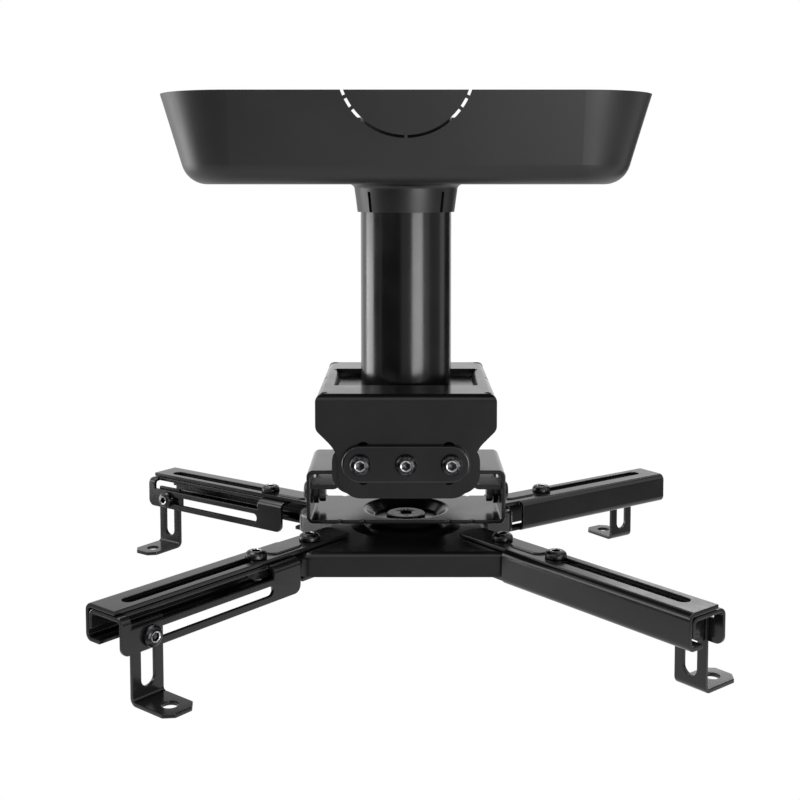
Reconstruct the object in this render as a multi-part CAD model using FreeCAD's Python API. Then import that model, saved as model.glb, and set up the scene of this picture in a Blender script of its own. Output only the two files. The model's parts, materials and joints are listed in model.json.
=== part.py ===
import FreeCAD, Part
import math
import os

# Ceiling mount for a projector: a pole with a sliding ceiling cover, a tilting head, a swivelling
# hub and four sliding arms with slotted feet. Millimetres, +Z up. The origin lies on the ceiling
# plane, on the pole axis. -Y is the front.

V = FreeCAD.Vector
UP = V(0, 0, 1)
ALONG_X = V(1, 0, 0)
ALONG_Y = V(0, 1, 0)

# Fits
running_gap = 0.05      # radial play of a pin in its own hinge hole
slide_gap = 0.3         # play between sheets and slots that move on each other
bolt_play = 0.25        # radial play of a bolt in a plain hole

# Bolts and nuts
bolt_dia = 6.0
head_dia = 10.6
head_height = 3.3
socket_width = 4.0
socket_depth = 2.0
nut_width = 10.0
nut_height = 5.0
thin_nut = 3.4          # low nuts beside the yoke
nut_chamfer = 30.0      # slope of a nut's turned corners
bolt_tail = 1.5         # thread that shows past a nut
foot_bolt_dia = 4.0
foot_bolt_scale = 0.9   # head of a foot bolt beside the larger bolts

# Ceiling plate and pole
plate_width = 52.0      # narrow, so that the sky shows beside it through the knockout's slits
plate_length = 170.0
plate_thick = 3.0
plate_corner = 12.0
plate_hole_end = 15.0   # bolt holes from the ends of the plate
plate_hole_dia = 8.5
plate_slot_length = 20.0
plate_slot_gap = 10.0   # from a bolt hole's edge to the slot's end centre
cable_hole_dia = 38.0
pole_dia = 48.0
pole_wall = 2.0
pole_length = 144.6

# Ceiling cover
cover_side = 226.0
cover_height = 41.0
cover_wall = 2.5
cover_taper = 16.5
cover_corner = 35.0
cover_edge = 12.0
collar_height = 14.5
collar_lip = 1.3        # wall of the collar at its lower end
collar_taper = 6.0
collar_fillet = 3.0
finger_slit = 2.0
finger_count = 4
knockout_dia = 59.2
knockout_rise = 9.6     # centre of the knockout above the rim
knockout_slit = 1.3
knockout_bridge = 1.4

# Tilt head
sheet = 2.5             # steel of the head, cross bracket and hub
bend = 1.5              # inside radius of every fold
head_width = 89.0
head_depth = 112.0
cheek_side = 17.4       # straight side of a cheek before its neck
cheek_neck = 66.0       # width of the lower part of a cheek
cheek_height = 51.4
cheek_top = 3.5         # rounded upper corners of a cheek
cheek_shoulder = 5.0
cheek_throat = 18.0
cheek_foot = 11.0
side_flange = 12.4
side_flange_end = 6.0   # side flanges stop this far from the cheeks
relief_dia = 3.6
notch = 2.4
bridge_drop = 4.0       # the pressed-down strip that carries the pole
bridge_width = 77.0     # across the tops of its ramps
bridge_floor = 71.0
bridge_depth = 56.0
bridge_slit = 2.0       # gap cut along its front and back

# Roll adjustment, about a front-to-back axis
roll_drop = 33.9        # roll axis below the top of the head
roll_pitch = 22.3       # lock bolts from the pivot bolt
roll_limit = 19.5
bar_height = 18.4
bar_thick = 3.0
bar_edge = 1.2

# Cross bracket
cross_width = 73.0
cross_rise = 10.0       # top of the bracket above the roll axis
cross_skirt = 26.0
cross_corner = 10.0
wing_drop = 18.8        # wings below the roll axis
wing_depth = 47.0
wing_relief = 1.5       # cuts beside an ear, at its fold
ear_width = 13.0

# Yoke, pitching about a left-to-right axis
pitch_drop = 28.0       # pitch axis below the roll axis
yoke_width = 103.0
yoke_depth = 50.0
yoke_above = 17.0       # yoke top above the pitch axis
yoke_below = 11.1
yoke_sheet = 2.0
yoke_bend = 1.5
yoke_flange = 13.5
yoke_notch_pitch = 12.0
yoke_notch_offset = 28.2
dish_dia = 47.0
dish_depth = 4.9
dish_slope = 4.5

# Swivel
swivel_dia = 10.0
swivel_head_dia = 21.0
swivel_head_height = 2.2
swivel_head_edge = 1.0
swivel_socket = 6.0
swivel_socket_depth = 1.3
swivel_nut_width = 16.0
swivel_nut_height = 7.0
washer_dia = 21.0
washer_thick = 1.6

# Hub
boss_dia = 48.0
boss_rise = 1.5
boss_slope = 6.0
hub_half_depth = 53.0
hub_front_width = 104.0
hub_skirt = 12.3
hub_edge = 3.5
hub_waist = 86.0
hub_ear = 11.0          # hub around each arm pivot

# Arms
sleeve_dia = 12.0
pivot_x = 49.0
pivot_y = 38.0
front_arm_angle = 51.0  # from the left-right line
rear_arm_angle = 35.0
arm_sheet = 2.0
arm_height = 17.0
arm_reach = 127.0       # pivot to outer end
arm_tail = 24.0         # pivot to inner end
tongue_corner = 3.0     # rounded corners of an arm's inner end
arm_wall_side = 12.8    # pivot line to the outside of the closed wall
arm_open_side = 7.2     # pivot line to the open edge of the top
arm_lip = 9.5
arm_wall_start = 12.6
arm_slot_start = 37.3
arm_slot_wall = 13.7    # arm's outer end to the slot's end centre
bead_width = 9.0
bead_rise = 0.8
bead_start = 8.0
bead_end = 30.0

# Slider brackets
slider_start = 19.0
web_offset = 12.3       # pivot line to the outside of the web
web_height = 17.0
slider_lip = 9.0
web_corner = 4.0
window_start = 37.0
window_wall = 5.0       # window to the slider's outer end
window_drop = 6.0
foot_slot_start = 40.0
foot_slot_drop = 11.3   # below the slider's top
foot_inset = 15.5       # foot bolt from the slider's outer end

# Feet
foot_width = 17.0
foot_leg = 36.0
foot_toe = 25.0
foot_chamfer = 4.0
foot_hole_dia = 7.0
foot_hole_inset = 9.0
leg_slot_width = 7.4
leg_slot_end = 6.5      # slot's lower end above the sole
leg_slot_top = 3.0      # slot's upper end below the leg's top
nut_plate_length = 15.0
nut_plate_height = 10.0
nut_plate_thick = 2.5

# Levels worked out from the sizes above
hole_radius = bolt_dia / 2 + bolt_play
slot_width = bolt_dia + 2 * slide_gap
foot_slot_width = foot_bolt_dia + 2 * slide_gap
pin_radius = bolt_dia / 2 + running_gap
pole_foot_z = -plate_thick - pole_length
head_top_z = pole_foot_z + bridge_drop
roll_z = head_top_z - roll_drop
cheek_y = head_depth / 2
cross_y = cheek_y - sheet - slide_gap
cross_top_z = roll_z + cross_rise
wing_z = roll_z - wing_drop
pitch_z = roll_z - pitch_drop
yoke_top_z = pitch_z + yoke_above
yoke_floor_z = pitch_z - yoke_below + yoke_sheet
yoke_x = yoke_width / 2
wing_span = yoke_width - 2 * (yoke_sheet + slide_gap)
dish_floor_z = yoke_floor_z - dish_depth
boss_top_z = dish_floor_z - yoke_sheet - slide_gap
hub_top_z = boss_top_z - boss_rise
arm_top_z = hub_top_z + slide_gap + arm_sheet
arm_bottom_z = arm_top_z - arm_height
slider_top_z = arm_top_z - arm_sheet - slide_gap
web_bottom_z = slider_top_z - web_height
foot_bolt_z = slider_top_z - foot_slot_drop
foot_rest = arm_reach - foot_inset
arm_slot_end = arm_reach - arm_slot_wall
window_end = arm_reach - window_wall
leg_outer_v = web_offset - arm_sheet - slide_gap
leg_inner_v = leg_outer_v - arm_sheet
leg_top_z = foot_bolt_z + leg_slot_top + leg_slot_width / 2
sole_z = leg_top_z - foot_leg


def box(x0, x1, y0, y1, z0, z1):
    return Part.makeBox(x1 - x0, y1 - y0, z1 - z0, V(x0, y0, z0))


def rod(radius, start, length, direction=UP):
    return Part.makeCylinder(radius, length, start, direction)


def rounded_wire(corners, radii):
    # Closed outline through the corners, each rounded by its own radius
    count = len(corners)
    starts = []
    ends = []
    edges = []
    for i in range(count):
        here = corners[i]
        to_last = (corners[i - 1] - here).normalize()
        to_next = (corners[(i + 1) % count] - here).normalize()
        half = to_last.getAngle(to_next) / 2
        reach = radii[i] / math.tan(half)
        starts.append(here + to_last * reach)
        ends.append(here + to_next * reach)
        if radii[i] > 0:
            middle = (to_last + to_next).normalize()
            dip = radii[i] / math.sin(half) - radii[i]
            edges.append((i, Part.Arc(starts[i], here + middle * dip, ends[i]).toShape()))
    arcs = dict(edges)
    path = []
    for i in range(count):
        if i in arcs:
            path.append(arcs[i])
        following = starts[(i + 1) % count]
        if ends[i].distanceToPoint(following) > 1e-6:
            path.append(Part.makeLine(ends[i], following))
    return Part.Wire(path)


def outline(corners, radii):
    return Part.Face(rounded_wire(corners, radii))


def sheet_face(points, thick, inner, to_space):
    # Section of a folded sheet: the points run along one face and the sheet lies to their left
    count = len(points)
    offset = []
    near_radii = []
    far_radii = []
    for i in range(count):
        before = points[max(i, 1)] - points[max(i, 1) - 1]
        after = points[min(i + 1, count - 1)] - points[min(i + 1, count - 1) - 1]
        before.normalize()
        after.normalize()
        left = V(-before.y, before.x, 0) + V(-after.y, after.x, 0)
        left = left * (2 / left.dot(left))
        offset.append(points[i] + left * thick)
        turn = before.x * after.y - before.y * after.x
        if abs(turn) < 1e-6:
            near_radii.append(0)
            far_radii.append(0)
        elif turn > 0:
            near_radii.append(inner + thick)
            far_radii.append(inner)
        else:
            near_radii.append(inner)
            far_radii.append(inner + thick)
    corners = [to_space(p) for p in points + offset[::-1]]
    return outline(corners, near_radii + far_radii[::-1])


def in_xz(p):
    return V(p.x, 0, p.y)


def in_yz(p):
    return V(0, p.x, p.y)


def folded_along_y(points, thick, inner, y0, y1):
    face = sheet_face(points, thick, inner, in_xz)
    return face.translated(V(0, y0, 0)).extrude(V(0, y1 - y0, 0))


def folded_along_x(points, thick, inner, x0, x1):
    face = sheet_face(points, thick, inner, in_yz)
    return face.translated(V(x0, 0, 0)).extrude(V(x1 - x0, 0, 0))


def long_hole(length, width, start, depth, along, into):
    # Round-ended slot; length is between the end centres
    side = into.cross(along).normalize() * (width / 2)
    far = along * length
    wire = Part.Wire([
        Part.makeLine(start + side, start + far + side),
        Part.Arc(start + far + side, start + far + along * (width / 2), start + far - side).toShape(),
        Part.makeLine(start + far - side, start - side),
        Part.Arc(start - side, start - along * (width / 2), start + side).toShape()])
    return Part.Face(wire).extrude(into * depth)


def hexagon(width, start, length, direction):
    # Hexagonal bar, measured across its flats
    other = UP if abs(direction.z) < 0.5 else ALONG_X
    side = direction.cross(other).normalize()
    points = []
    for k in range(6):
        turn = FreeCAD.Rotation(direction, 60 * k + 30)
        points.append(start + turn.multVec(side) * (width / math.sqrt(3)))
    return Part.Face(Part.makePolygon(points + points[:1])).extrude(direction * length)


def button_bolt(seat, direction, length, dia=bolt_dia, scale=1.0):
    # Domed head with a hexagon socket; direction points from the head along the shank
    radius = head_dia / 2 * scale
    height = head_height * scale
    key = socket_width * scale
    rim = V(radius, 0, 0)
    shoulder = V(radius, 0, height * 0.3)
    middle = V(radius * 0.82, 0, height * 0.77)
    crown = V(key * 0.75, 0, height)
    profile = Part.Wire([
        Part.makeLine(V(0, 0, 0), rim),
        Part.makeLine(rim, shoulder),
        Part.Arc(shoulder, middle, crown).toShape(),
        Part.makeLine(crown, V(0, 0, height)),
        Part.makeLine(V(0, 0, height), V(0, 0, 0))])
    head = Part.Face(profile).revolve(V(0, 0, 0), UP, 360)
    head = head.cut(hexagon(key, V(0, 0, height - socket_depth * scale), socket_depth * scale, UP))
    bolt = head.fuse(rod(dia / 2, V(0, 0, -length), length))
    turn = FreeCAD.Rotation(V(0, 0, -1), direction)
    bolt.Placement = FreeCAD.Placement(seat, turn)
    return bolt.removeSplitter()


def hex_nut(seat, direction, width, height, bore):
    # Hexagon with both ends turned down at the corners
    corner = width / math.sqrt(3)
    fall = (corner - width / 2) * math.tan(math.radians(nut_chamfer))
    profile = Part.makePolygon([
        V(0, 0, 0), V(width / 2, 0, 0), V(corner, 0, fall), V(corner, 0, height - fall),
        V(width / 2, 0, height), V(0, 0, height), V(0, 0, 0)])
    turned = Part.Face(profile).revolve(V(0, 0, 0), UP, 360)
    turned.Placement = FreeCAD.Placement(seat, FreeCAD.Rotation(UP, direction))
    nut = hexagon(width, seat, height, direction).common(turned)
    return nut.cut(rod(bore, seat, height, direction))


def ceiling_plate():
    x = plate_width / 2
    y = plate_length / 2
    corners = [V(-x, -y, 0), V(x, -y, 0), V(x, y, 0), V(-x, y, 0)]
    plate = outline(corners, [plate_corner] * 4).extrude(V(0, 0, -plate_thick))
    plate = plate.cut(rod(cable_hole_dia / 2, V(0, 0, -plate_thick), plate_thick))
    hole_y = y - plate_hole_end
    slot_y = hole_y - plate_hole_dia / 2 - plate_slot_gap
    for side in (-1, 1):
        plate = plate.cut(rod(plate_hole_dia / 2, V(0, side * hole_y, -plate_thick), plate_thick))
        start = V(0, side * slot_y, -plate_thick)
        inward = V(0, -side, 0)
        plate = plate.cut(long_hole(plate_slot_length, plate_hole_dia, start, plate_thick, inward, UP))
    return plate


def pole():
    tube = rod(pole_dia / 2, V(0, 0, pole_foot_z), pole_length)
    return tube.cut(rod(pole_dia / 2 - pole_wall, V(0, 0, pole_foot_z), pole_length))


def cover_block(inset, floor_z, edge):
    # Tapered tray, drawn in by the inset on every side
    slope = math.tan(math.radians(cover_taper))
    wires = []
    for z in (0, floor_z):
        half = cover_side / 2 - inset + z * slope
        radius = cover_corner - inset + z * slope
        corners = [V(-half, -half, z), V(half, -half, z), V(half, half, z), V(-half, half, z)]
        wires.append(rounded_wire(corners, [radius] * 4))
    block = Part.makeLoft(wires, True, True)
    lower = [e for e in block.Edges if e.BoundBox.ZMax < floor_z + 1e-3]
    return block.makeFillet(edge, lower)


def cover_collar(bore):
    # Tapered sleeve with spring fingers, drawn as half of its section and turned
    root = bore + collar_lip + collar_height * math.tan(math.radians(collar_taper))
    top = -cover_height
    flare = Part.Arc(
        V(root + collar_fillet, 0, top),
        V(root + collar_fillet * 0.29, 0, top - collar_fillet * 0.29),
        V(root, 0, top - collar_fillet)).toShape()
    profile = Part.Wire([
        Part.makeLine(V(bore, 0, top + cover_wall), V(root + collar_fillet, 0, top + cover_wall)),
        Part.makeLine(V(root + collar_fillet, 0, top + cover_wall), V(root + collar_fillet, 0, top)),
        flare,
        Part.makeLine(V(root, 0, top - collar_fillet), V(bore + collar_lip, 0, top - collar_height)),
        Part.makeLine(V(bore + collar_lip, 0, top - collar_height), V(bore, 0, top - collar_height)),
        Part.makeLine(V(bore, 0, top - collar_height), V(bore, 0, top + cover_wall))])
    collar = Part.Face(profile).revolve(V(0, 0, 0), UP, 360)
    slit_top = top - collar_fillet * 1.3
    for k in range(finger_count):
        slit = box(bore - 1, root + 2, -finger_slit / 2, finger_slit / 2, top - collar_height, slit_top)
        slit.rotate(V(0, 0, 0), UP, 45 + 360 / finger_count * k)
        collar = collar.cut(slit)
    return collar


def knockout_slits():
    # Perforated half round for a cable, held by narrow bridges
    outer = knockout_dia / 2 + knockout_slit / 2
    inner = knockout_dia / 2 - knockout_slit / 2
    centre = V(0, -cover_side / 2 - 1, knockout_rise)
    depth = cover_height
    ring = rod(outer, centre, depth, ALONG_Y).cut(rod(inner, centre, depth, ALONG_Y))
    for angle in (25, 36, 90, 144, 155):
        bridge = box(0, outer + 1, 0, depth, -knockout_bridge / 2, knockout_bridge / 2)
        bridge.rotate(V(0, 0, 0), ALONG_Y, angle)
        ring = ring.cut(bridge.translated(centre))
    return ring


def ceiling_cover():
    bore = pole_dia / 2 + slide_gap
    tray = cover_block(0, -cover_height, cover_edge)
    hollow = cover_block(cover_wall, -cover_height + cover_wall, cover_edge - cover_wall)
    tray = tray.cut(hollow)
    tray = tray.cut(rod(bore, V(0, 0, -cover_height), cover_wall))
    tray = tray.cut(knockout_slits())
    return tray.fuse(cover_collar(bore)).removeSplitter()


def cheek_outline():
    # Front view of the head: full width above, drawn in to a rounded neck below
    wide = head_width / 2
    neck = cheek_neck / 2
    shoulder_z = head_top_z - cheek_side
    neck_z = shoulder_z - (wide - neck)
    foot_z = head_top_z - cheek_height
    half = [(wide, head_top_z), (wide, shoulder_z), (neck, neck_z), (neck, foot_z)]
    radii = [cheek_top, cheek_shoulder, cheek_throat, cheek_foot]
    corners = [V(x, 0, z) for x, z in half] + [V(-x, 0, z) for x, z in half[::-1]]
    face = outline(corners, radii + radii[::-1])
    return face.translated(V(0, -cheek_y, 0)).extrude(V(0, head_depth, 0))


def roll_slots(y, direction):
    # Pivot hole and the two curved slots of one cheek
    start = V(0, y, roll_z)
    cutters = [rod(pin_radius, start, sheet, direction)]
    outer = roll_pitch + slot_width / 2
    inner = roll_pitch - slot_width / 2
    ring = rod(outer, start, sheet, direction).cut(rod(inner, start, sheet, direction))
    for side in (-1, 1):
        reach = side * outer * 2
        limit = math.radians(roll_limit)
        wedge = Part.Face(Part.makePolygon([
            start,
            start + V(reach * math.cos(limit), 0, outer * 2 * math.sin(limit)),
            start + V(reach * math.cos(limit), 0, -outer * 2 * math.sin(limit)),
            start])).extrude(direction * sheet)
        cutters.append(ring.common(wedge))
        for end in (-limit, limit):
            centre = start + V(side * roll_pitch * math.cos(end), 0, roll_pitch * math.sin(end))
            cutters.append(rod(slot_width / 2, centre, sheet, direction))
    return cutters


def tilt_head():
    foot_z = head_top_z - cheek_height
    cheeks = [V(cheek_y, foot_z, 0), V(cheek_y, head_top_z, 0),
              V(-cheek_y, head_top_z, 0), V(-cheek_y, foot_z, 0)]
    wide = head_width / 2
    head = folded_along_x(cheeks, sheet, bend, -wide, wide).common(cheek_outline())
    # The sides of the top are folded down between the cheeks
    side_y = cheek_y - side_flange_end
    edge_z = head_top_z - side_flange
    sides = [V(wide, edge_z, 0), V(wide, head_top_z, 0), V(-wide, head_top_z, 0), V(-wide, edge_z, 0)]
    corner = sheet + bend
    for y in (-side_y, side_y):
        step = math.copysign(side_flange_end - sheet - bend, y)
        for x in (-wide, wide - corner):
            gap = box(x, x + corner, min(y, y + step), max(y, y + step), edge_z, head_top_z)
            head = head.cut(gap)
    head = head.cut(box(-wide, wide, -side_y, side_y, head_top_z - sheet, head_top_z))
    head = head.fuse(folded_along_y(sides, sheet, bend, -side_y, side_y))
    for x in (-wide + corner, wide - corner):
        for y in (-side_y, side_y):
            head = head.cut(rod(relief_dia / 2, V(x, y, head_top_z - sheet), sheet))
    for x in (-wide, wide):
        head = head.cut(box(x - notch, x + notch, -notch / 2, notch / 2, head_top_z - notch, head_top_z))
    # A strip of the top is pressed down between two slits to seat the pole
    outer_x = bridge_width / 2
    inner_x = bridge_floor / 2
    half_y = bridge_depth / 2
    strip_y = half_y - bridge_slit
    low_z = head_top_z - bridge_drop
    end_x = outer_x + 2 * bend
    head = head.cut(box(-outer_x, outer_x, -half_y, half_y, head_top_z - sheet, head_top_z))
    head = head.cut(box(-end_x, end_x, -strip_y, strip_y, head_top_z - sheet, head_top_z))
    strip = [V(end_x, head_top_z, 0), V(outer_x, head_top_z, 0), V(inner_x, low_z, 0),
             V(-inner_x, low_z, 0), V(-outer_x, head_top_z, 0), V(-end_x, head_top_z, 0)]
    pressed = folded_along_y(strip, sheet, bend, -strip_y, strip_y)
    pressed = pressed.cut(rod(cable_hole_dia / 2, V(0, 0, low_z - sheet), sheet))
    for x in (-inner_x, inner_x):
        for y in (-strip_y, strip_y):
            pressed = pressed.cut(rod(relief_dia / 2, V(x, y, low_z - sheet), sheet + bridge_drop))
    head = head.fuse(pressed)
    for cutter in roll_slots(-cheek_y, ALONG_Y) + roll_slots(cheek_y, -ALONG_Y):
        head = head.cut(cutter)
    return head.removeSplitter()


def roll_places():
    return [V(x, 0, roll_z) for x in (-roll_pitch, 0, roll_pitch)]


def clamp_bar(side):
    # Rounded bar that clamps the cheek; side is -1 at the front and 1 at the back
    face_y = side * (cheek_y + slide_gap)
    out = V(0, side, 0)
    start = V(-roll_pitch, face_y, roll_z)
    bar = long_hole(2 * roll_pitch, bar_height, start, bar_thick, ALONG_X, out)
    outer = [e for e in bar.Edges if abs(e.BoundBox.YMin - e.BoundBox.YMax) < 1e-4
             and abs(e.BoundBox.YMin - face_y - side * bar_thick) < 1e-3]
    bar = bar.makeFillet(bar_edge, outer)
    for place in roll_places():
        bar = bar.cut(rod(hole_radius, place + V(0, face_y, 0), bar_thick, out))
    return bar


def roll_bolts(centres):
    length = bar_thick + 2 * slide_gap + 2 * sheet + nut_height + bolt_tail
    bolts = []
    for side in (-1, 1):
        for place in centres:
            seat = place + V(0, side * (cheek_y + slide_gap + bar_thick), 0)
            bolts.append(button_bolt(seat, V(0, -side, 0), length))
    return Part.makeCompound(bolts)


def roll_nuts():
    nuts = []
    for side in (-1, 1):
        for place in roll_places():
            seat = place + V(0, side * (cross_y - sheet), 0)
            nuts.append(hex_nut(seat, V(0, -side, 0), nut_width, nut_height, bolt_dia / 2))
    return Part.makeCompound(nuts)


def cross_bracket():
    half = cross_width / 2
    skirt_z = cross_top_z - cross_skirt
    ends = [V(cross_y, skirt_z, 0), V(cross_y, cross_top_z, 0),
            V(-cross_y, cross_top_z, 0), V(-cross_y, skirt_z, 0)]
    bracket = folded_along_x(ends, sheet, bend, -half, half)
    corners = [V(-half, 0, cross_top_z), V(half, 0, cross_top_z), V(half, 0, skirt_z), V(-half, 0, skirt_z)]
    shape = outline(corners, [cross_corner] * 4).translated(V(0, -cross_y, 0)).extrude(V(0, 2 * cross_y, 0))
    inner_y = cross_y - sheet - bend
    flat = box(-half, half, -inner_y, inner_y, skirt_z, cross_top_z)
    bracket = bracket.common(shape.fuse(flat))
    # The sides go down, out as wings under the yoke's flanges, and down again as ears
    tip = wing_span / 2
    ear_z = pitch_z - ear_width / 2
    sides = [V(tip, ear_z, 0), V(tip, wing_z, 0), V(half, wing_z, 0), V(half, cross_top_z, 0),
             V(-half, cross_top_z, 0), V(-half, wing_z, 0), V(-tip, wing_z, 0), V(-tip, ear_z, 0)]
    webs = folded_along_y(sides, sheet, bend, -wing_depth / 2, wing_depth / 2)
    # Only the middle of a wing is folded into its ear: beside it the wing stays flat to the tip
    ear = ear_width / 2
    flat_x = tip - sheet - bend
    for side in (-1, 1):
        y0, y1 = sorted((side * ear, side * wing_depth / 2))
        inner, outer = sorted((side * (ear + wing_relief), side * wing_depth / 2))
        for x0, x1 in ((-tip, -flat_x), (flat_x, tip)):
            webs = webs.cut(box(x0, x1, y0, y1, ear_z, wing_z))
            webs = webs.fuse(box(x0, x1, inner, outer, wing_z - sheet, wing_z))
    keep = rod(ear, V(-tip, 0, pitch_z), 2 * tip, ALONG_X)
    keep = keep.fuse(box(-tip, tip, -wing_depth / 2, wing_depth / 2, pitch_z, cross_top_z))
    bracket = bracket.fuse(webs.common(keep))
    bracket = bracket.cut(rod(pin_radius, V(-tip, 0, pitch_z), 2 * tip, ALONG_X))
    for place in roll_places():
        bracket = bracket.cut(rod(hole_radius, place - V(0, cross_y, 0), 2 * cross_y, ALONG_Y))
    return bracket.removeSplitter()


def pitch_bolts():
    inner = wing_span / 2 - sheet
    length = yoke_x - inner + slide_gap + thin_nut
    bolts = [button_bolt(V(side * yoke_x, 0, pitch_z), V(-side, 0, 0), length) for side in (-1, 1)]
    return Part.makeCompound(bolts)


def pitch_nuts():
    seat = wing_span / 2 - sheet - slide_gap
    nuts = []
    for side in (-1, 1):
        nuts.append(hex_nut(V(side * seat, 0, pitch_z), V(-side, 0, 0), nut_width, thin_nut, bolt_dia / 2))
    return Part.makeCompound(nuts)


def turned_sheet(points, thick, inner):
    face = sheet_face(points, thick, inner, in_xz)
    return face.revolve(V(0, 0, 0), UP, 360)


def yoke():
    x = yoke_x
    in_x = x - yoke_flange
    low_z = yoke_floor_z - yoke_sheet
    path = [V(-in_x, yoke_top_z, 0), V(-x, yoke_top_z, 0), V(-x, low_z, 0),
            V(x, low_z, 0), V(x, yoke_top_z, 0), V(in_x, yoke_top_z, 0)]
    half = yoke_depth / 2
    body = folded_along_y(path, yoke_sheet, yoke_bend, -half, half)
    # A round dish in the floor meets the hub's boss
    rim = dish_dia / 2
    body = body.cut(rod(rim, V(0, 0, low_z), yoke_sheet))
    hole = swivel_dia / 2 + bolt_play
    dish = [V(rim + 1, yoke_floor_z, 0), V(rim - bend, yoke_floor_z, 0),
            V(rim - bend - dish_slope, dish_floor_z, 0), V(hole, dish_floor_z, 0)]
    floor = box(-x, x, -half, half, dish_floor_z - yoke_sheet, yoke_floor_z)
    body = body.fuse(turned_sheet(dish, yoke_sheet, bend).common(floor))
    for side in (-1, 1):
        for step in (-1, 1):
            place = side * yoke_notch_offset + step * yoke_notch_pitch / 2
            for y in (-half, half):
                body = body.cut(rod(notch / 2, V(place, y, low_z), yoke_sheet))
        body = body.cut(rod(hole_radius, V(side * (x - yoke_sheet), 0, pitch_z), yoke_sheet, V(side, 0, 0)))
    return body.removeSplitter()


def swivel_bolt():
    seat = dish_floor_z
    head = rod(swivel_head_dia / 2, V(0, 0, seat), swivel_head_height)
    upper = [e for e in head.Edges if e.BoundBox.ZMin > seat + swivel_head_height - 1e-3]
    head = head.makeFillet(swivel_head_edge, upper)
    key_z = seat + swivel_head_height - swivel_socket_depth
    head = head.cut(hexagon(swivel_socket, V(0, 0, key_z), swivel_socket_depth, UP))
    tip = boss_top_z - sheet - slide_gap - washer_thick - swivel_nut_height - bolt_tail
    return head.fuse(rod(swivel_dia / 2, V(0, 0, tip), seat - tip)).removeSplitter()


def swivel_washer():
    low = V(0, 0, boss_top_z - sheet - slide_gap - washer_thick)
    disc = rod(washer_dia / 2, low, washer_thick)
    return disc.cut(rod(swivel_dia / 2 + bolt_play, low, washer_thick))


def swivel_nut():
    top = boss_top_z - sheet - slide_gap - washer_thick
    return hex_nut(V(0, 0, top), -UP, swivel_nut_width, swivel_nut_height, swivel_dia / 2)


def hub_wire(inset, z):
    # Straight front and back, waisted sides, and a rounded ear round each arm pivot
    front = hub_front_width / 2 - inset * 0.4
    depth = hub_half_depth - inset
    waist = hub_waist / 2 - inset
    tip = pivot_x + hub_ear - inset
    low = pivot_y - hub_ear + inset * 0.4
    shoulder = pivot_y + hub_ear * 0.35
    quarter = [(waist, low * 0.35), (tip, low), (tip, shoulder), (front, depth)]
    radii = [hub_ear + inset, hub_ear - inset, hub_ear - inset, hub_ear - inset]
    points = []
    rounds = []
    for sx, sy, order in ((1, 1, 1), (-1, 1, -1), (-1, -1, 1), (1, -1, -1)):
        for (x, y), r in list(zip(quarter, radii))[::order]:
            points.append(V(sx * x, sy * y, z))
            rounds.append(r)
    return rounded_wire(points, rounds)


def pivot_places():
    # Front left, front right, rear right, rear left
    return [V(-pivot_x, -pivot_y, 0), V(pivot_x, -pivot_y, 0),
            V(pivot_x, pivot_y, 0), V(-pivot_x, pivot_y, 0)]


def hub():
    low_z = hub_top_z - hub_skirt
    plate = Part.Face(hub_wire(0, low_z)).extrude(V(0, 0, hub_skirt))
    upper = [e for e in plate.Edges if e.BoundBox.ZMin > hub_top_z - 1e-3]
    plate = plate.makeFillet(hub_edge, upper)
    plate = plate.cut(Part.Face(hub_wire(sheet, low_z)).extrude(V(0, 0, hub_skirt - sheet)))
    # A round boss rises to meet the yoke's dish
    rim = boss_dia / 2 + boss_slope + bend
    plate = plate.cut(rod(rim, V(0, 0, hub_top_z - sheet), sheet))
    hole = swivel_dia / 2 + running_gap
    boss = [V(rim + 1, hub_top_z, 0), V(rim - bend, hub_top_z, 0),
            V(boss_dia / 2, boss_top_z, 0), V(hole, boss_top_z, 0)]
    plate = plate.fuse(turned_sheet(boss, sheet, bend))
    for place in pivot_places():
        plate = plate.cut(rod(hole_radius, place + V(0, 0, hub_top_z - sheet), sheet))
    return plate.removeSplitter()


def arm_pivot_bolts():
    seat_z = arm_top_z + slide_gap
    length = seat_z - arm_bottom_z
    return Part.makeCompound([button_bolt(p + V(0, 0, seat_z), -UP, length) for p in pivot_places()])


def arm_pivot_sleeves():
    # Spacers between the hub and the nuts inside the arms
    top = hub_top_z - sheet
    low = arm_bottom_z + arm_sheet + 2 * slide_gap + nut_height
    sleeves = []
    for place in pivot_places():
        tube = rod(sleeve_dia / 2, place + V(0, 0, low), top - low)
        sleeves.append(tube.cut(rod(hole_radius, place + V(0, 0, low), top - low)))
    return Part.makeCompound(sleeves)


def arm_pivot_nuts():
    # They lie on the lower tongues, inside the arms
    seat = V(0, 0, arm_bottom_z + arm_sheet + slide_gap)
    nuts = [hex_nut(p + seat, UP, nut_width, nut_height, bolt_dia / 2) for p in pivot_places()]
    return Part.makeCompound(nuts)


# Each arm is drawn along +X from its pivot with its open side towards +Y, then swung into place

def tongue_end(edge, side, corner, low, tall):
    # Corner block that rounds the inner end of a tongue
    y0, y1 = sorted((edge, edge - side * corner))
    square = box(-arm_tail, -arm_tail + corner, y0, y1, low, low + tall)
    centre = V(-arm_tail + corner, edge - side * corner, low)
    return square.cut(rod(corner, centre, tall))


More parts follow.
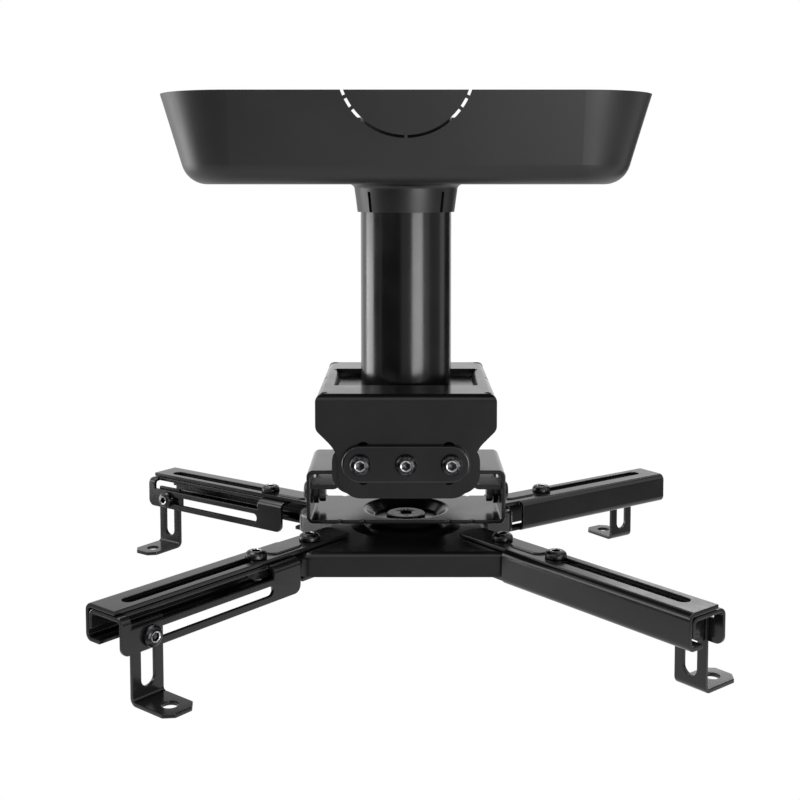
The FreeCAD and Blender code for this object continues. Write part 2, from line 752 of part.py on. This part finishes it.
def arm():
    path = [V(arm_open_side, arm_top_z, 0), V(-arm_wall_side, arm_top_z, 0),
            V(-arm_wall_side, arm_bottom_z, 0), V(arm_open_side, arm_bottom_z, 0)]
    channel = folded_along_x(path, arm_sheet, bend, -arm_tail, arm_reach)
    # The wall stops beside the hub, and top and bottom go on as tongues above and below it
    fold = arm_sheet + bend
    channel = channel.cut(box(-arm_tail, arm_wall_start, -arm_wall_side, -arm_wall_side + fold,
                              arm_bottom_z, arm_top_z))
    # Past the hub only a narrow lip of the bottom is left
    lip = -arm_wall_side + arm_lip
    channel = channel.cut(box(arm_wall_start, arm_reach, lip, arm_open_side,
                              arm_bottom_z, arm_bottom_z + arm_sheet))
    for low, tall in ((arm_top_z - arm_sheet, arm_sheet), (arm_bottom_z, arm_sheet)):
        for edge, side in ((-arm_wall_side + fold, -1), (arm_open_side, 1)):
            channel = channel.cut(tongue_end(edge, side, tongue_corner, low, tall))
    slot = long_hole(arm_slot_end - arm_slot_start, slot_width, V(arm_slot_start, 0, arm_top_z - arm_sheet),
                     arm_sheet, ALONG_X, UP)
    channel = channel.cut(slot)
    bead = long_hole(bead_end - bead_start - bead_width, bead_width,
                     V(bead_start + bead_width / 2, 0, arm_top_z), bead_rise, ALONG_X, UP)
    channel = channel.fuse(bead)
    channel = channel.cut(rod(pin_radius, V(0, 0, arm_bottom_z), arm_height))
    return channel.removeSplitter()


def slider():
    wall = -arm_wall_side + arm_sheet + slide_gap
    path = [V(web_offset, web_bottom_z, 0), V(web_offset, slider_top_z, 0),
            V(wall, slider_top_z, 0), V(wall, slider_top_z - slider_lip, 0)]
    body = folded_along_x(path, arm_sheet, bend, slider_start, arm_reach)
    # Web with rounded lower corners, a window at its fold and a long slot for the foot
    corners = [V(slider_start, 0, slider_top_z), V(arm_reach, 0, slider_top_z),
               V(arm_reach, 0, web_bottom_z), V(slider_start, 0, web_bottom_z)]
    shape = outline(corners, [0, 0, web_corner, web_corner]).translated(V(0, wall, 0))
    body = body.common(shape.extrude(V(0, web_offset - wall, 0)))
    window = box(window_start, window_end, leg_inner_v - 2 * slide_gap, web_offset,
                 slider_top_z - window_drop, slider_top_z)
    body = body.cut(window)
    slot = long_hole(foot_rest - foot_slot_start, foot_slot_width,
                     V(foot_slot_start, web_offset - arm_sheet, foot_bolt_z), arm_sheet, ALONG_X, ALONG_Y)
    body = body.cut(slot)
    body = body.cut(rod(hole_radius, V(arm_slot_start, 0, slider_top_z - arm_sheet), arm_sheet))
    return body.removeSplitter()


def slot_bolt():
    length = 2 * arm_sheet + 2 * slide_gap + nut_height + bolt_tail
    return button_bolt(V(arm_slot_start, 0, arm_top_z + slide_gap), -UP, length)


def slot_nut():
    seat = V(arm_slot_start, 0, slider_top_z - arm_sheet)
    return hex_nut(seat, -UP, nut_width, nut_height, bolt_dia / 2)


def foot_bolt():
    length = 2 * arm_sheet + 3 * slide_gap + nut_plate_thick + bolt_tail
    seat = V(foot_rest, web_offset + slide_gap, foot_bolt_z)
    return button_bolt(seat, -ALONG_Y, length, foot_bolt_dia, foot_bolt_scale)


def nut_plate():
    back = leg_inner_v - slide_gap - nut_plate_thick
    half = nut_plate_length / 2
    tall = nut_plate_height / 2
    plate = box(foot_rest - half, foot_rest + half, back, back + nut_plate_thick,
                foot_bolt_z - tall, foot_bolt_z + tall)
    return plate.cut(rod(foot_bolt_dia / 2, V(foot_rest, back, foot_bolt_z), nut_plate_thick, ALONG_Y))


def foot():
    half = foot_width / 2
    toe = leg_inner_v + foot_toe
    path = [V(leg_inner_v, leg_top_z, 0), V(leg_inner_v, sole_z, 0), V(toe, sole_z, 0)]
    body = folded_along_x(path, arm_sheet, bend, foot_rest - half, foot_rest + half)
    sole = [V(foot_rest - half, leg_inner_v, sole_z), V(foot_rest + half, leg_inner_v, sole_z),
            V(foot_rest + half, toe - foot_chamfer, sole_z), V(foot_rest + half - foot_chamfer, toe, sole_z),
            V(foot_rest - half + foot_chamfer, toe, sole_z), V(foot_rest - half, toe - foot_chamfer, sole_z)]
    body = body.common(outline(sole, [0] * 6).extrude(V(0, 0, foot_leg)))
    low = sole_z + leg_slot_end + leg_slot_width / 2
    high = leg_top_z - leg_slot_top - leg_slot_width / 2
    slot = long_hole(high - low, leg_slot_width, V(foot_rest, leg_inner_v, low), arm_sheet, UP, ALONG_Y)
    body = body.cut(slot)
    hole = V(foot_rest, toe - foot_hole_inset, sole_z)
    return body.cut(rod(foot_hole_dia / 2, hole, arm_sheet)).removeSplitter()


def export(name, shape):
    shape.exportStep(os.path.join("parts", name + ".step"))


def main():
    os.makedirs("parts", exist_ok=True)
    middle = [V(0, 0, roll_z)]
    outer = [V(-roll_pitch, 0, roll_z), V(roll_pitch, 0, roll_z)]
    pieces = {
        "ceiling_plate": ceiling_plate(),
        "pole": pole(),
        "ceiling_cover": ceiling_cover(),
        "tilt_head": tilt_head(),
        "front_clamp_bar": clamp_bar(-1),
        "rear_clamp_bar": clamp_bar(1),
        "roll_pivot_bolts": roll_bolts(middle),
        "roll_lock_bolts": roll_bolts(outer),
        "roll_nuts": roll_nuts(),
        "cross_bracket": cross_bracket(),
        "yoke": yoke(),
        "pitch_bolts": pitch_bolts(),
        "pitch_nuts": pitch_nuts(),
        "swivel_bolt": swivel_bolt(),
        "swivel_washer": swivel_washer(),
        "swivel_nut": swivel_nut(),
        "hub": hub(),
        "arm_pivot_bolts": arm_pivot_bolts(),
        "arm_pivot_sleeves": arm_pivot_sleeves(),
        "arm_pivot_nuts": arm_pivot_nuts(),
    }
    names = ["front_left", "front_right", "rear_right", "rear_left"]
    angles = [180 + front_arm_angle, -front_arm_angle, rear_arm_angle, 180 - rear_arm_angle]
    makers = {"arm": arm, "slider": slider, "slot_bolt": slot_bolt, "slot_nut": slot_nut,
              "foot_bolt": foot_bolt, "nut_plate": nut_plate, "foot": foot}
    for kind, make in makers.items():
        shape = make()
        for name, angle, place in zip(names, angles, pivot_places()):
            copy = shape.copy()
            copy.Placement = FreeCAD.Placement(place, FreeCAD.Rotation(UP, angle)).multiply(copy.Placement)
            pieces[name + "_" + kind] = copy
    for name, shape in pieces.items():
        export(name, shape)


main()
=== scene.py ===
import json
import math
import bmesh
import bpy
from mathutils import Matrix, Vector


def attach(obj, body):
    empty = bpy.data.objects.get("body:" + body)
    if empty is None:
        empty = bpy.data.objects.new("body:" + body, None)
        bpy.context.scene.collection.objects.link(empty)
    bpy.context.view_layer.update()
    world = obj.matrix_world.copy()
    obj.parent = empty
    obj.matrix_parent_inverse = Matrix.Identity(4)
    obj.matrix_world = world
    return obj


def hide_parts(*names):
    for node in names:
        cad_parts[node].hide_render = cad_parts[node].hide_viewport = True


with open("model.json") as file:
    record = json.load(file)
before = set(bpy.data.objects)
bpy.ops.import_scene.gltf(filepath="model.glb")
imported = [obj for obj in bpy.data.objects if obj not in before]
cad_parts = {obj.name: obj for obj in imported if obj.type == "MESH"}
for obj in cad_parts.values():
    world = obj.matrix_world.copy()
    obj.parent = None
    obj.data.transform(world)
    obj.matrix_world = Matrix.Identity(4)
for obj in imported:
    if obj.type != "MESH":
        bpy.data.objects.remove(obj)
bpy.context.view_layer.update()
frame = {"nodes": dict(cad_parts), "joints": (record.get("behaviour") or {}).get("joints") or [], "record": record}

nodes = frame["nodes"]
record = frame["record"]
slotOf = {part["node"]: part["material_slot"] for part in record["subparts"]}
bodyOf = {node: body for body, members in record["behaviour"]["bodies"].items() for node in members}
mm = 0.001
weldGap = 0.001 * mm    # points of neighbouring CAD faces nearer than this are one point
print("frame loaded:", len(nodes), "nodes")


def hexColour(code):
    # sRGB hex to the linear colour that the shader wants
    channels = [int(code[i:i + 2], 16) / 255 for i in (1, 3, 5)]
    linear = [c / 12.92 if c <= 0.04045 else ((c + 0.055) / 1.055) ** 2.4 for c in channels]
    return (*linear, 1.0)


def addNode(tree, kind, settings=None, links=None):
    # one node: settings are sockets or properties, links are socket name or number -> output
    node = tree.nodes.new(kind)
    for key, value in (settings or {}).items():
        if key in node.inputs:
            node.inputs[key].default_value = value
        else:
            setattr(node, key, value)
    for key, source in (links or {}).items():
        tree.links.new(source, node.inputs[key])
    return node


def newMaterial(name):
    material = bpy.data.materials.new(name)
    material.use_nodes = True
    material.node_tree.nodes.clear()
    return material, material.node_tree


def addObject(name, data):
    thing = bpy.data.objects.new(name, data)
    bpy.context.scene.collection.objects.link(thing)
    return thing


# Materials

white = (1, 1, 1, 1)
mixDark, mixPale, mixResult = 6, 7, 2    # colour sockets of the mix node
noiseLow, noiseHigh = 0.3, 0.7           # most values of a noise lie between these


def noise(tree, place, size, **settings):
    # noise with features of that size in millimetres, fixed to the piece
    scale = {"Scale": 1 / (size * mm)}
    return addNode(tree, "ShaderNodeTexNoise", {**scale, **settings},
                   {"Vector": place.outputs["Object"]}).outputs["Fac"]


def spread(tree, value, low, high, toLow=0.0, toHigh=1.0):
    return addNode(tree, "ShaderNodeMapRange",
                   {"From Min": low, "From Max": high, "To Min": toLow, "To Max": toHigh},
                   {"Value": value}).outputs["Result"]


def blend(tree, share, dark, pale):
    tone = addNode(tree, "ShaderNodeMix", {"data_type": "RGBA"}, {"Factor": share})
    tone.inputs[mixDark].default_value = hexColour(dark)
    tone.inputs[mixPale].default_value = hexColour(pale)
    return tone.outputs[mixResult]


def surface(tree, settings, links):
    shader = addNode(tree, "ShaderNodeBsdfPrincipled", settings, links)
    addNode(tree, "ShaderNodeOutputMaterial", None, {"Surface": shader.outputs["BSDF"]})


def grainedSkin(name, look):
    # a fine relief over slow changes of tone and gloss
    material, tree = newMaterial(name)
    place = addNode(tree, "ShaderNodeTexCoord")
    grain = noise(tree, place, look["grain"],
                  **{"Detail": look["grainDetail"], "Roughness": look["grainRough"]})
    cloud = noise(tree, place, look["cloud"], Detail=look["cloudDetail"])
    rough = spread(tree, cloud, noiseLow, noiseHigh, look["roughLow"], look["roughHigh"])
    bump = addNode(tree, "ShaderNodeBump",
                   {"Strength": look["bump"], "Distance": look["relief"] * mm},
                   {"Height": grain})
    surface(tree, {"IOR": look["ior"], "Specular IOR Level": look["specular"]},
            {"Base Color": blend(tree, cloud, look["colour"], look["pale"]),
             "Roughness": rough, "Normal": bump.outputs["Normal"]})
    return material


# baked black powder on steel: satin, finely pebbled, soft grey sheen at low angles
powderCoat = {
    "colour": "#111112",
    "pale": "#1a1a1c",      # where the film is thinner
    "grain": 0.9,           # mm; the real orange peel is near 0.4 and would not show
    "grainDetail": 2.0,
    "grainRough": 0.55,
    "cloud": 22.0,          # mm; uneven film thickness
    "cloudDetail": 3.0,
    "roughLow": 0.15,
    "roughHigh": 0.23,
    "bump": 0.035,
    "relief": 0.08,         # mm
    "ior": 1.5,
    "specular": 0.42,
}

# black ABS from a fine spark-eroded mould: even satin with a soft broad highlight
mouldedCover = {
    "colour": "#141415",
    "pale": "#1b1b1c",
    "grain": 1.0,           # mm; mould texture, drawn coarser than life so that it shows
    "grainDetail": 3.0,
    "grainRough": 0.6,
    "cloud": 40.0,          # mm
    "cloudDetail": 2.0,
    "roughLow": 0.38,
    "roughHigh": 0.47,
    "bump": 0.08,
    "relief": 0.06,         # mm
    "ior": 1.53,
    "specular": 0.4,
}

# black-passivated zinc on turned steel: dark metal, sharp small highlights, slight mottle
blackZinc = {
    "colour": "#2b2b2d",
    "bright": "#5a5a5c",    # where the passivation is thin
    "mottle": 1.6,          # mm
    "detail": 3.0,
    "shareLow": 0.45,
    "shareHigh": 0.8,
    "roughLow": 0.22,
    "roughHigh": 0.38,
}


def blackZincBolt():
    material, tree = newMaterial("blackZincBolt")
    place = addNode(tree, "ShaderNodeTexCoord")
    mottle = noise(tree, place, blackZinc["mottle"], Detail=blackZinc["detail"])
    share = spread(tree, mottle, blackZinc["shareLow"], blackZinc["shareHigh"])
    rough = spread(tree, mottle, noiseLow, noiseHigh, blackZinc["roughLow"], blackZinc["roughHigh"])
    surface(tree, {"Metallic": 1.0},
            {"Base Color": blend(tree, share, blackZinc["colour"], blackZinc["bright"]),
             "Roughness": rough})
    return material


# zinc-nickel nuts and washers: dull dark metal
darkNut = {
    "colour": "#3a3a3b",
    "pale": "#6a6a6b",
    "mottle": 2.2,          # mm
    "detail": 4.0,
    "shareLow": 0.45,
    "shareHigh": 0.85,
    "rough": 0.36,
}


def darkZincNut():
    material, tree = newMaterial("darkZincNut")
    place = addNode(tree, "ShaderNodeTexCoord")
    mottle = noise(tree, place, darkNut["mottle"], Detail=darkNut["detail"])
    share = spread(tree, mottle, darkNut["shareLow"], darkNut["shareHigh"])
    surface(tree, {"Metallic": 1.0, "Roughness": darkNut["rough"]},
            {"Base Color": blend(tree, share, darkNut["colour"], darkNut["pale"])})
    return material


# painted highlight: a bright, streaky ring of lighter metal on the socket's chamfer and flat crown, standing in
# for the light that the socket's rim catches
paintedRingLook = {
    "dark": "#8a8a8c",
    "bright": "#d0d0d2",
    "streak": 0.7,         # mm
    "detail": 4.0,
    "rough": 0.28,
}


def paintedRingSteel():
    material, tree = newMaterial("paintedRingSteel")
    place = addNode(tree, "ShaderNodeTexCoord")
    streak = noise(tree, place, paintedRingLook["streak"], Detail=paintedRingLook["detail"])
    surface(tree, {"Metallic": 1.0, "Roughness": paintedRingLook["rough"]},
            {"Base Color": blend(tree, streak, paintedRingLook["dark"], paintedRingLook["bright"])})
    return material


finish = {
    "powder_coat": grainedSkin("powderCoatedSteel", powderCoat),
    "moulded_plastic": grainedSkin("mouldedAbs", mouldedCover),
    "black_bolt": blackZincBolt(),
    "zinc_nut": darkZincNut(),
}
print("materials made:", ", ".join(m.name for m in finish.values()))

# CAD nodes keep their solids, with smooth curves, and with eased edges where there is room

edges = {
    "round": 0.4,           # mm
    "segments": 2,
    "sharp": 34.0,          # degrees; an edge sharper than this is eased or stays hard
    "flat": 0.5,            # degrees; faces flatter than this are joined
    # pieces whose tiny fold reliefs or slits leave no room to ease their edges
    "asCut": ("ceiling_cover", "tilt_head", "cross_bracket"),
}


def smoothGroup():
    # geometry nodes: smooth shading with hard edges past the sharp angle
    group = bpy.data.node_groups.new("smoothUnderAngle", "GeometryNodeTree")
    for way in ("INPUT", "OUTPUT"):
        group.interface.new_socket("Geometry", in_out=way, socket_type="NodeSocketGeometry")
    start = addNode(group, "NodeGroupInput")
    angle = addNode(group, "GeometryNodeInputMeshEdgeAngle")
    low = addNode(group, "FunctionNodeCompare",
                  {"data_type": "FLOAT", "operation": "LESS_EQUAL",
                   "B": math.radians(edges["sharp"])},
                  {"A": angle.outputs["Unsigned Angle"]})
    faces = addNode(group, "GeometryNodeSetShadeSmooth", {"domain": "FACE"},
                    {"Geometry": start.outputs["Geometry"]})
    sharp = addNode(group, "GeometryNodeSetShadeSmooth", {"domain": "EDGE"},
                    {"Geometry": faces.outputs["Geometry"], "Shade Smooth": low.outputs["Result"]})
    addNode(group, "NodeGroupOutput", None, {"Geometry": sharp.outputs["Geometry"]})
    return group


smoothing = smoothGroup()


def joinFlats(piece):
    flat = piece.modifiers.new("joinFlats", "DECIMATE")
    flat.decimate_type = "DISSOLVE"
    flat.angle_limit = math.radians(edges["flat"])


def smoothCurves(piece):
    smooth = piece.modifiers.new("smoothCurves", "NODES")
    smooth.node_group = smoothing


def easeEdges(piece):
    # stamped and coated edges are round, so they catch the light in thin lines
    weld = piece.modifiers.new("joinFaces", "WELD")
    weld.merge_threshold = weldGap
    joinFlats(piece)
    bevel = piece.modifiers.new("easedEdges", "BEVEL")
    bevel.width = edges["round"] * mm
    bevel.segments = edges["segments"]
    bevel.limit_method = "ANGLE"
    bevel.angle_limit = math.radians(edges["sharp"])
    bevel.use_clamp_overlap = False
    smoothCurves(piece)
    level = piece.modifiers.new("levelFlats", "WEIGHTED_NORMAL")
    level.mode = "FACE_AREA"
    level.keep_sharp = True


for name, piece in nodes.items():
    slot = slotOf[name]
    piece.data.materials.clear()
    piece.data.materials.append(finish[slot])
    if slot == "powder_coat" and name not in edges["asCut"]:
        easeEdges(piece)
    else:
        joinFlats(piece)
        smoothCurves(piece)
print("CAD nodes finished")

# Bolts: turned heads with a broached hexagon socket and a rolled thread, where each CAD bolt lies

boltLook = {
    "around": 48,           # points round a bolt, eight to each side of the hexagon
    "domeSteps": 7,
    "edge": 0.30,           # height of the head's straight edge beside the whole head
    "crown": 0.52,          # flat crown beside the head's radius
    "key": 0.38,            # socket across its flats beside the head's diameter
    "keyDepth": 0.60,       # beside the head's height
    "drillWide": 0.1,       # drill point under the socket, beside the socket
    "drillDeep": 0.3,
    "countersink": 0.25,    # mm
    "underEdge": 0.1,       # mm; broken edge under the head
    "shank": 0.985,         # beside the solid's shank
    "plain": 0.05,          # mm; least shank without a thread
    "pitch": 1 / 6,         # thread pitch beside the bolt's diameter
    "thread": 12.0,         # mm of thread from the tip
    "rowsPerTurn": 6,
    "depth": 0.13,          # thread depth beside the radius
    "leadRows": 4,          # rows at the tip with a lower thread
    "lead": 0.93,
    "tip": 0.80,            # end face beside the shank
}
# low flat head with a small socket
swivelLook = {**boltLook, "edge": 0.545, "crown": 0.905, "key": 0.286}
rimShare = 0.95             # points past this share of a bolt's radius are on its head's rim
sixth = math.pi / 3         # turn from one side of the hexagon to the next


def looseParts(piece):
    # groups of joined points of a CAD node, one for each bolt in it
    mesh = bmesh.new()
    mesh.from_mesh(piece.data)
    bmesh.ops.remove_doubles(mesh, verts=mesh.verts, dist=weldGap)
    left = set(mesh.verts)
    groups = []
    while left:
        stack = [left.pop()]
        group = []
        while stack:
            point = stack.pop()
            group.append(point.co.copy())
            near = [edge.other_vert(point) for edge in point.link_edges]
            fresh = [other for other in near if other in left]
            left.difference_update(fresh)
            stack.extend(fresh)
        groups.append(group)
    mesh.free()
    return groups


def boltPlace(points, axis):
    # seat, direction and sizes of one bolt, read from its solid
    side = axis.orthogonal().normalized()
    other = axis.cross(side)
    spans = [[p.dot(d) for p in points] for d in (side, other)]
    middle = [(max(span) + min(span)) / 2 for span in spans]
    onAxis = side * middle[0] + other * middle[1]
    reach = [((p - onAxis) - axis * p.dot(axis)).length for p in points]
    heights = [p.dot(axis) for p in points]
    wide = max(reach)
    rim = [h for h, r in zip(heights, reach) if r > rimShare * wide]
    if sum(rim) / len(rim) < (max(heights) + min(heights)) / 2:
        axis = -axis
        heights = [-h for h in heights]
        rim = [-h for h in rim]
    seat = min(rim)
    tip = min(heights)
    shank = max(r for h, r in zip(heights, reach) if h < (seat + tip) / 2)
    return {"seat": onAxis + axis * seat, "up": axis, "radius": wide,
            "height": max(heights) - seat, "shank": shank, "length": seat - tip}


def boltRings(place, look):
    # rings of kind, radius and height: from the socket's floor, over the head, down the thread
    head, tall = place["radius"], place["height"]
    key = head * look["key"]
    sink = look["countersink"] * mm
    floor = tall - tall * look["keyDepth"]
    crown = head * look["crown"]
    corner = key * 2 / math.sqrt(3)
    rings = [("round", look["drillWide"] * key, floor - look["drillDeep"] * key),
             ("hex", key, floor), ("hex", key, tall - sink), ("round", corner + sink, tall)]
    # the socket's chamfer and the flat crown round it take the painted highlight ring
    paintedRingLevels = (len(rings) - 2, len(rings) - 1)
    for step in range(look["domeSteps"] + 1):
        turn = math.pi / 2 * (1 - step / look["domeSteps"])
        rings.append(("round", crown + (head - crown) * math.cos(turn),
                      tall * (look["edge"] + (1 - look["edge"]) * math.sin(turn))))
    under = look["underEdge"] * mm
    shank = place["shank"] * look["shank"]
    pitch = 2 * place["shank"] * look["pitch"]
    start = -max(place["length"] - look["thread"] * mm, look["plain"] * mm)
    rings += [("round", head, under), ("round", head - under, 0),
              ("round", shank, 0), ("round", shank, start)]
    rows = int((place["length"] + start) / pitch * look["rowsPerTurn"])
    for row in range(1, rows):
        share = look["lead"] if row > rows - look["leadRows"] else 1.0
        rings.append(("thread", shank * share, start - row * pitch / look["rowsPerTurn"]))
    rings.append(("round", shank * look["tip"], -place["length"]))
    return rings, paintedRingLevels, pitch


def ringRadius(kind, size, height, turn, pitch):
    if kind == "hex":
        return size / math.cos((turn + sixth / 2) % sixth - sixth / 2)
    if kind == "thread":
        phase = (height / pitch - turn / (2 * math.pi)) % 1.0
        return size * (1 - boltLook["depth"] * abs(2 * phase - 1))
    return size


def turnedBolts(node, axis, look, paintedRing):
    mesh = bmesh.new()
    count = look["around"]
    for points in looseParts(nodes[node]):
        place = boltPlace(points, axis)
        turn = Vector((0, 0, 1)).rotation_difference(place["up"]).to_matrix().to_4x4()
        put = Matrix.Translation(place["seat"]) @ turn
        plan, paintedRingLevels, pitch = boltRings(place, look)
        loops = []
        for kind, size, height in plan:
            loop = []
            for k in range(count):
                angle = 2 * math.pi * k / count
                radius = ringRadius(kind, size, height, angle, pitch)
                spot = Vector((radius * math.cos(angle), radius * math.sin(angle), height))
                loop.append(mesh.verts.new(put @ spot))
            loops.append(loop)
        for level, (inner, outer) in enumerate(zip(loops, loops[1:])):
            for k in range(count):
                face = mesh.faces.new((inner[k - 1], outer[k - 1], outer[k], inner[k]))
                # lighter metal on the chamfer and crown: a painted highlight ring
                face.material_index = 1 if level in paintedRingLevels and paintedRing else 0
        mesh.faces.new(loops[0])
        mesh.faces.new(loops[-1][::-1])
    bmesh.ops.recalc_face_normals(mesh, faces=mesh.faces)
    for face in mesh.faces:
        face.smooth = True
    data = bpy.data.meshes.new("turned_" + node)
    mesh.to_mesh(data)
    mesh.free()
    data.materials.append(finish["black_bolt"])
    data.materials.append(paintedRingMaterial)
    piece = addObject("turned_" + node, data)
    smoothCurves(piece)
    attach(piece, bodyOf[node])
    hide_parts(node)


# lighter metal for the painted highlight ring round the bolt sockets
paintedRingMaterial = paintedRingSteel()
boltAxes = {"roll_pivot_bolts": (0, 1, 0), "roll_lock_bolts": (0, 1, 0), "pitch_bolts": (1, 0, 0),
            "swivel_bolt": (0, 0, 1), "arm_pivot_bolts": (0, 0, 1)}
for joint in frame["joints"]:
    if joint["name"].endswith("_extend"):
        arm = joint["name"][:-len("_extend")]
        along = joint["axis"]
        boltAxes[arm + "_slot_bolt"] = (0, 0, 1)
        boltAxes[arm + "_foot_bolt"] = (-along[1], along[0], 0)
for node, axis in boltAxes.items():
    # the swivel bolt's low flat head has no painted highlight ring
    plain = node == "swivel_bolt"
    turnedBolts(node, Vector(axis).normalized(), swivelLook if plain else boltLook, not plain)
print("bolts turned:", len(boltAxes), "nodes")

# Stage: white all round, with soft lamps above, at the left, in front and behind

studio = {
    "diffuseSky": 0.30,
    "aim": (0, 0, -0.14),   # the lamps point at the middle of the mount
    "lamps": {
        "top": {"at": (-0.25, 0.30, 1.1), "size": (1.4, 1.2), "watts": 22},
        "left": {"at": (-1.25, 0.30, -0.30), "size": (0.7, 0.45), "watts": 6},
        "front": {"at": (0.55, -1.0, -0.28), "size": (0.55, 0.45), "watts": 6},
        "highLeft": {"at": (-1.05, -0.06, 0.20), "size": (0.7, 0.35), "watts": 2.2},
        "back": {"at": (0.70, 1.50, 0.46), "size": (0.7, 0.26), "watts": 1.6},
    },
    "floor": {"low": -0.60, "half": 6.0, "pale": (0.8, 0.8, 0.8, 1)},
    "card": {"wide": 2.6, "near": -0.75, "far": -2.4, "high": 1.3, "lift": 0.01, "grey": 0.48},
    # dark cards: the two ends in plan, lower edge, upper edge, grey
    "flags": {
        "backRight": ((0.62, 0.25), (1.25, 1.9), -0.59, 0.45, 0.04),
        "backHigh": ((-1.3, 1.5), (1.3, 1.5), 0.42, 1.1, 0.35),
        "frontLeft": ((-0.20, -0.93), (-0.86, -0.40), -0.38, -0.04, 0.01),
        "sideRight": ((0.95, -0.55), (1.15, 0.10), -0.59, 0.0, 0.30),
        "sideLeft": ((-0.90, -0.38), (-1.10, 0.0), -0.59, 0.0, 0.25),
    },
}


def shownDirectly(tree):
    # 1 for rays that the eye follows: from the camera, off a glossy face or through a clear one
    path = addNode(tree, "ShaderNodeLightPath")
    seen = addNode(tree, "ShaderNodeMath", {"operation": "MAXIMUM"},
                   {0: path.outputs["Is Camera Ray"], 1: path.outputs["Is Glossy Ray"]})
    shown = addNode(tree, "ShaderNodeMath", {"operation": "MAXIMUM"},
                    {0: seen.outputs[0], 1: path.outputs["Is Transmission Ray"]})
    return shown.outputs[0]


def choose(tree, share, first, second):
    return addNode(tree, "ShaderNodeMixShader", None,
                   {"Fac": share, 1: first.outputs[0], 2: second.outputs[0]})


def whiteWorld():
    world = bpy.data.worlds.new("studioWhite")
    bpy.context.scene.world = world
    world.use_nodes = True
    tree = world.node_tree
    tree.nodes.clear()
    soft = addNode(tree, "ShaderNodeBackground", {"Color": white, "Strength": studio["diffuseSky"]})
    bright = addNode(tree, "ShaderNodeBackground", {"Color": white, "Strength": 1.0})
    mix = choose(tree, shownDirectly(tree), soft, bright)
    addNode(tree, "ShaderNodeOutputWorld", None, {"Surface": mix.outputs[0]})


def softLight(name, at, size, watts):
    lamp = bpy.data.lights.new(name, "AREA")
    lamp.shape = "RECTANGLE"
    lamp.size, lamp.size_y = size
    lamp.energy = watts
    holder = addObject(name, lamp)
    holder.location = at
    aim = Vector(studio["aim"]) - Vector(at)
    holder.rotation_euler = aim.to_track_quat("-Z", "Y").to_euler()


def paleFloor():
    # far below the hanging mount; white to the camera, pale to the light
    floor = studio["floor"]
    half = floor["half"]
    mesh = bpy.data.meshes.new("floor")
    corners = [(-half, -half, 0), (half, -half, 0), (half, half, 0), (-half, half, 0)]
    mesh.from_pydata(corners, [], [(0, 1, 2, 3)])
    piece = addObject("floor", mesh)
    piece.location.z = floor["low"]
    material, tree = newMaterial("paleFloor")
    matt = addNode(tree, "ShaderNodeBsdfDiffuse", {"Color": floor["pale"]})
    glow = addNode(tree, "ShaderNodeEmission", {"Color": white, "Strength": 1.0})
    mix = choose(tree, shownDirectly(tree), matt, glow)
    # clear from below, so that the underside of the hanging mount can be looked at
    side = addNode(tree, "ShaderNodeNewGeometry")
    clear = addNode(tree, "ShaderNodeBsdfTransparent")
    oneSided = choose(tree, side.outputs["Backfacing"], mix, clear)
    addNode(tree, "ShaderNodeOutputMaterial", None, {"Surface": oneSided.outputs[0]})
    mesh.materials.append(material)


def studioCard(name, corners, faces, grey):
    # plain card that the camera passes through, seen only as a reflection in the black surfaces
    mesh = bpy.data.meshes.new(name)
    mesh.from_pydata(corners, [], faces)
    piece = addObject(name, mesh)
    material, tree = newMaterial(name)
    glow = addNode(tree, "ShaderNodeEmission", {"Color": white, "Strength": grey})
    addNode(tree, "ShaderNodeOutputMaterial", None, {"Surface": glow.outputs[0]})
    mesh.materials.append(material)
    piece.visible_camera = False


def studioCards():
    # a grey card under and behind the camera keeps the fronts deep; dark flags make dark bands
    card = studio["card"]
    low = studio["floor"]["low"] + card["lift"]
    rows = [(card["near"], low), (card["far"], low), (card["far"], card["high"])]
    corners = [(side * card["wide"] / 2, y, z) for y, z in rows for side in (-1, 1)]
    studioCard("greyCard", corners, [(0, 1, 3, 2), (2, 3, 5, 4)], card["grey"])
    for name, (one, two, foot, top, grey) in studio["flags"].items():
        corners = [(*one, foot), (*two, foot), (*two, top), (*one, top)]
        studioCard(name + "Flag", corners, [(0, 1, 2, 3)], grey)


whiteWorld()
paleFloor()
studioCards()
for key, lamp in studio["lamps"].items():
    softLight(key + "Softbox", **lamp)
print("studio ready")

# Camera: level with the cover, a little pitched down, as in the photograph

view = {
    "at": (0.0, -0.640, -0.0404),
    "pitch": 4.0,           # degrees below level
    "lens": 54.36,          # mm
    "sensor": 36.0,         # mm
    "shift": (-0.0075, -0.1656),
    "near": 0.01,           # m; nothing closer than this is drawn
}
camera = bpy.data.cameras.new("photoCamera")
camera.lens = view["lens"]
camera.sensor_width = view["sensor"]
camera.shift_x, camera.shift_y = view["shift"]
camera.clip_start = view["near"]
holder = addObject("photoCamera", camera)
holder.location = view["at"]
holder.rotation_euler = (math.radians(90 - view["pitch"]), 0, 0)
bpy.context.scene.camera = holder
bpy.context.scene.view_settings.view_transform = "Standard"
print("camera set")
